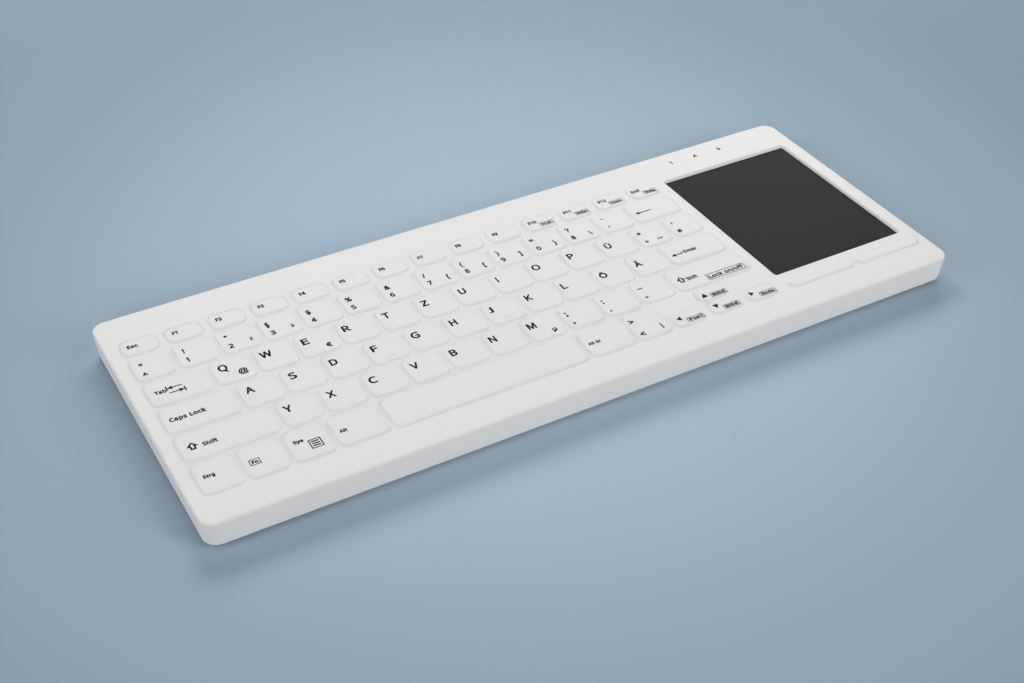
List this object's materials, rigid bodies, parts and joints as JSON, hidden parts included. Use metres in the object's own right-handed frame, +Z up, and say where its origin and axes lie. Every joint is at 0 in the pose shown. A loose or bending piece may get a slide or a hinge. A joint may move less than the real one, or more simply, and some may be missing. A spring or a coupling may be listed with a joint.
{
  "type": "keyboard",
  "caption": "Sealed flat keyboard with low silicone key pads, a sunk touchpad at the right and two pointer buttons in front of it.",
  "frame": {"origin": "middle of the keyboard on the plane that its feet rest on", "axes": "+X to the typist's right, +Y to the back edge, +Z up"},
  "size_m": [0.3672, 0.1396, 0.015],
  "materials": {
    "silicone": "satin, smooth moulded silicone",
    "key_silicone": "satin, smooth moulded silicone",
    "case_plastic": "fine moulded texture",
    "frame_plastic": "moulded",
    "gasket_rubber": "closed-cell foam",
    "plate_steel": "plain sheet",
    "film": "polyester film",
    "dome_rubber": "moulded silicone",
    "touchpad": "fine satin",
    "board": "solder resist",
    "light_guide": "clear acrylic",
    "switch_plastic": "moulded",
    "gland_rubber": "moulded",
    "screw_steel": "plated",
    "foot_rubber": "non-slip"
  },
  "bodies": {
    "case": {"silicone_cover": "silicone", "bottom_case": "case_plastic", "key_frame": "frame_plastic", "case_gasket": "gasket_rubber", "support_plate": "plate_steel", "membrane_circuit": "film", "dome_sheet": "dome_rubber", "touchpad_surface": "touchpad", "touchpad_board": "board", "controller_board": "board", "ribbon_cable": "film", "status_lights": "light_guide", "button_switches": "switch_plastic", "cable_gland": "gland_rubber", "case_screws": "screw_steel", "rubber_feet": "foot_rubber"},
    "key_esc": {"key_esc": "key_silicone"},
    "key_delete": {"key_delete": "key_silicone"},
    "key_backspace": {"key_backspace": "key_silicone"},
    "key_tab": {"key_tab": "key_silicone"},
    "key_enter": {"key_enter": "key_silicone"},
    "key_caps_lock": {"key_caps_lock": "key_silicone"},
    "key_shift_left": {"key_shift_left": "key_silicone"},
    "key_shift_right": {"key_shift_right": "key_silicone"},
    "key_space": {"key_space": "key_silicone"},
    "key_a": {"key_a": "key_silicone"},
    "key_b": {"key_b": "key_silicone"},
    "key_c": {"key_c": "key_silicone"},
    "key_d": {"key_d": "key_silicone"},
    "key_e": {"key_e": "key_silicone"},
    "key_f": {"key_f": "key_silicone"},
    "key_g": {"key_g": "key_silicone"},
    "key_h": {"key_h": "key_silicone"},
    "key_i": {"key_i": "key_silicone"},
    "key_j": {"key_j": "key_silicone"},
    "key_k": {"key_k": "key_silicone"},
    "key_l": {"key_l": "key_silicone"},
    "key_m": {"key_m": "key_silicone"},
    "key_n": {"key_n": "key_silicone"},
    "key_o": {"key_o": "key_silicone"},
    "key_p": {"key_p": "key_silicone"},
    "key_q": {"key_q": "key_silicone"},
    "key_r": {"key_r": "key_silicone"},
    "key_s": {"key_s": "key_silicone"},
    "key_t": {"key_t": "key_silicone"},
    "key_u": {"key_u": "key_silicone"},
    "key_v": {"key_v": "key_silicone"},
    "key_w": {"key_w": "key_silicone"},
    "key_x": {"key_x": "key_silicone"},
    "key_y": {"key_y": "key_silicone"},
    "key_z": {"key_z": "key_silicone"},
    "keys_f1_to_f6": {"keys_f1_to_f6": "key_silicone"},
    "keys_f7_to_f12": {"keys_f7_to_f12": "key_silicone"},
    "keys_digits_left": {"keys_digits_left": "key_silicone"},
    "keys_digits_right": {"keys_digits_right": "key_silicone"},
    "keys_modifiers": {"keys_modifiers": "key_silicone"},
    "keys_symbols": {"keys_symbols": "key_silicone"},
    "keys_arrows": {"keys_arrows": "key_silicone"},
    "pointer_button_left": {"pointer_button_left": "key_silicone"},
    "pointer_button_right": {"pointer_button_right": "key_silicone"}
  },
  "joints": [
    {"name": "key_esc_press", "type": "slide", "parent": "case", "child": "key_esc", "axis": [0, 0, -1], "range_m": [0, 0.0018], "stiffness_N_per_m": 320, "springref_m": -0.0006},
    {"name": "key_delete_press", "type": "slide", "parent": "case", "child": "key_delete", "axis": [0, 0, -1], "range_m": [0, 0.0018], "stiffness_N_per_m": 320, "springref_m": -0.0006},
    {"name": "key_backspace_press", "type": "slide", "parent": "case", "child": "key_backspace", "axis": [0, 0, -1], "range_m": [0, 0.0018], "stiffness_N_per_m": 320, "springref_m": -0.0006},
    {"name": "key_tab_press", "type": "slide", "parent": "case", "child": "key_tab", "axis": [0, 0, -1], "range_m": [0, 0.0018], "stiffness_N_per_m": 320, "springref_m": -0.0006},
    {"name": "key_enter_press", "type": "slide", "parent": "case", "child": "key_enter", "axis": [0, 0, -1], "range_m": [0, 0.0018], "stiffness_N_per_m": 320, "springref_m": -0.0006},
    {"name": "key_caps_lock_press", "type": "slide", "parent": "case", "child": "key_caps_lock", "axis": [0, 0, -1], "range_m": [0, 0.0018], "stiffness_N_per_m": 320, "springref_m": -0.0006},
    {"name": "key_shift_left_press", "type": "slide", "parent": "case", "child": "key_shift_left", "axis": [0, 0, -1], "range_m": [0, 0.0018], "stiffness_N_per_m": 320, "springref_m": -0.0006},
    {"name": "key_shift_right_press", "type": "slide", "parent": "case", "child": "key_shift_right", "axis": [0, 0, -1], "range_m": [0, 0.0018], "stiffness_N_per_m": 320, "springref_m": -0.0006},
    {"name": "key_space_press", "type": "slide", "parent": "case", "child": "key_space", "axis": [0, 0, -1], "range_m": [0, 0.0018], "stiffness_N_per_m": 320, "springref_m": -0.0006},
    {"name": "key_a_press", "type": "slide", "parent": "case", "child": "key_a", "axis": [0, 0, -1], "range_m": [0, 0.0018], "stiffness_N_per_m": 320, "springref_m": -0.0006},
    {"name": "key_b_press", "type": "slide", "parent": "case", "child": "key_b", "axis": [0, 0, -1], "range_m": [0, 0.0018], "stiffness_N_per_m": 320, "springref_m": -0.0006},
    {"name": "key_c_press", "type": "slide", "parent": "case", "child": "key_c", "axis": [0, 0, -1], "range_m": [0, 0.0018], "stiffness_N_per_m": 320, "springref_m": -0.0006},
    {"name": "key_d_press", "type": "slide", "parent": "case", "child": "key_d", "axis": [0, 0, -1], "range_m": [0, 0.0018], "stiffness_N_per_m": 320, "springref_m": -0.0006},
    {"name": "key_e_press", "type": "slide", "parent": "case", "child": "key_e", "axis": [0, 0, -1], "range_m": [0, 0.0018], "stiffness_N_per_m": 320, "springref_m": -0.0006},
    {"name": "key_f_press", "type": "slide", "parent": "case", "child": "key_f", "axis": [0, 0, -1], "range_m": [0, 0.0018], "stiffness_N_per_m": 320, "springref_m": -0.0006},
    {"name": "key_g_press", "type": "slide", "parent": "case", "child": "key_g", "axis": [0, 0, -1], "range_m": [0, 0.0018], "stiffness_N_per_m": 320, "springref_m": -0.0006},
    {"name": "key_h_press", "type": "slide", "parent": "case", "child": "key_h", "axis": [0, 0, -1], "range_m": [0, 0.0018], "stiffness_N_per_m": 320, "springref_m": -0.0006},
    {"name": "key_i_press", "type": "slide", "parent": "case", "child": "key_i", "axis": [0, 0, -1], "range_m": [0, 0.0018], "stiffness_N_per_m": 320, "springref_m": -0.0006},
    {"name": "key_j_press", "type": "slide", "parent": "case", "child": "key_j", "axis": [0, 0, -1], "range_m": [0, 0.0018], "stiffness_N_per_m": 320, "springref_m": -0.0006},
    {"name": "key_k_press", "type": "slide", "parent": "case", "child": "key_k", "axis": [0, 0, -1], "range_m": [0, 0.0018], "stiffness_N_per_m": 320, "springref_m": -0.0006},
    {"name": "key_l_press", "type": "slide", "parent": "case", "child": "key_l", "axis": [0, 0, -1], "range_m": [0, 0.0018], "stiffness_N_per_m": 320, "springref_m": -0.0006},
    {"name": "key_m_press", "type": "slide", "parent": "case", "child": "key_m", "axis": [0, 0, -1], "range_m": [0, 0.0018], "stiffness_N_per_m": 320, "springref_m": -0.0006},
    {"name": "key_n_press", "type": "slide", "parent": "case", "child": "key_n", "axis": [0, 0, -1], "range_m": [0, 0.0018], "stiffness_N_per_m": 320, "springref_m": -0.0006},
    {"name": "key_o_press", "type": "slide", "parent": "case", "child": "key_o", "axis": [0, 0, -1], "range_m": [0, 0.0018], "stiffness_N_per_m": 320, "springref_m": -0.0006},
    {"name": "key_p_press", "type": "slide", "parent": "case", "child": "key_p", "axis": [0, 0, -1], "range_m": [0, 0.0018], "stiffness_N_per_m": 320, "springref_m": -0.0006},
    {"name": "key_q_press", "type": "slide", "parent": "case", "child": "key_q", "axis": [0, 0, -1], "range_m": [0, 0.0018], "stiffness_N_per_m": 320, "springref_m": -0.0006},
    {"name": "key_r_press", "type": "slide", "parent": "case", "child": "key_r", "axis": [0, 0, -1], "range_m": [0, 0.0018], "stiffness_N_per_m": 320, "springref_m": -0.0006},
    {"name": "key_s_press", "type": "slide", "parent": "case", "child": "key_s", "axis": [0, 0, -1], "range_m": [0, 0.0018], "stiffness_N_per_m": 320, "springref_m": -0.0006},
    {"name": "key_t_press", "type": "slide", "parent": "case", "child": "key_t", "axis": [0, 0, -1], "range_m": [0, 0.0018], "stiffness_N_per_m": 320, "springref_m": -0.0006},
    {"name": "key_u_press", "type": "slide", "parent": "case", "child": "key_u", "axis": [0, 0, -1], "range_m": [0, 0.0018], "stiffness_N_per_m": 320, "springref_m": -0.0006},
    {"name": "key_v_press", "type": "slide", "parent": "case", "child": "key_v", "axis": [0, 0, -1], "range_m": [0, 0.0018], "stiffness_N_per_m": 320, "springref_m": -0.0006},
    {"name": "key_w_press", "type": "slide", "parent": "case", "child": "key_w", "axis": [0, 0, -1], "range_m": [0, 0.0018], "stiffness_N_per_m": 320, "springref_m": -0.0006},
    {"name": "key_x_press", "type": "slide", "parent": "case", "child": "key_x", "axis": [0, 0, -1], "range_m": [0, 0.0018], "stiffness_N_per_m": 320, "springref_m": -0.0006},
    {"name": "key_y_press", "type": "slide", "parent": "case", "child": "key_y", "axis": [0, 0, -1], "range_m": [0, 0.0018], "stiffness_N_per_m": 320, "springref_m": -0.0006},
    {"name": "key_z_press", "type": "slide", "parent": "case", "child": "key_z", "axis": [0, 0, -1], "range_m": [0, 0.0018], "stiffness_N_per_m": 320, "springref_m": -0.0006},
    {"name": "keys_f1_to_f6_press", "type": "slide", "parent": "case", "child": "keys_f1_to_f6", "axis": [0, 0, -1], "range_m": [0, 0.0018], "stiffness_N_per_m": 900, "springref_m": -0.0006},
    {"name": "keys_f7_to_f12_press", "type": "slide", "parent": "case", "child": "keys_f7_to_f12", "axis": [0, 0, -1], "range_m": [0, 0.0018], "stiffness_N_per_m": 900, "springref_m": -0.0006},
    {"name": "keys_digits_left_press", "type": "slide", "parent": "case", "child": "keys_digits_left", "axis": [0, 0, -1], "range_m": [0, 0.0018], "stiffness_N_per_m": 900, "springref_m": -0.0006},
    {"name": "keys_digits_right_press", "type": "slide", "parent": "case", "child": "keys_digits_right", "axis": [0, 0, -1], "range_m": [0, 0.0018], "stiffness_N_per_m": 900, "springref_m": -0.0006},
    {"name": "keys_modifiers_press", "type": "slide", "parent": "case", "child": "keys_modifiers", "axis": [0, 0, -1], "range_m": [0, 0.0018], "stiffness_N_per_m": 900, "springref_m": -0.0006},
    {"name": "keys_symbols_press", "type": "slide", "parent": "case", "child": "keys_symbols", "axis": [0, 0, -1], "range_m": [0, 0.0018], "stiffness_N_per_m": 900, "springref_m": -0.0006},
    {"name": "keys_arrows_press", "type": "slide", "parent": "case", "child": "keys_arrows", "axis": [0, 0, -1], "range_m": [0, 0.0018], "stiffness_N_per_m": 900, "springref_m": -0.0006},
    {"name": "pointer_button_left_press", "type": "slide", "parent": "case", "child": "pointer_button_left", "axis": [0, 0, -1], "range_m": [0, 0.0007], "stiffness_N_per_m": 900, "springref_m": -0.0006},
    {"name": "pointer_button_right_press", "type": "slide", "parent": "case", "child": "pointer_button_right", "axis": [0, 0, -1], "range_m": [0, 0.0007], "stiffness_N_per_m": 900, "springref_m": -0.0006}
  ]
}
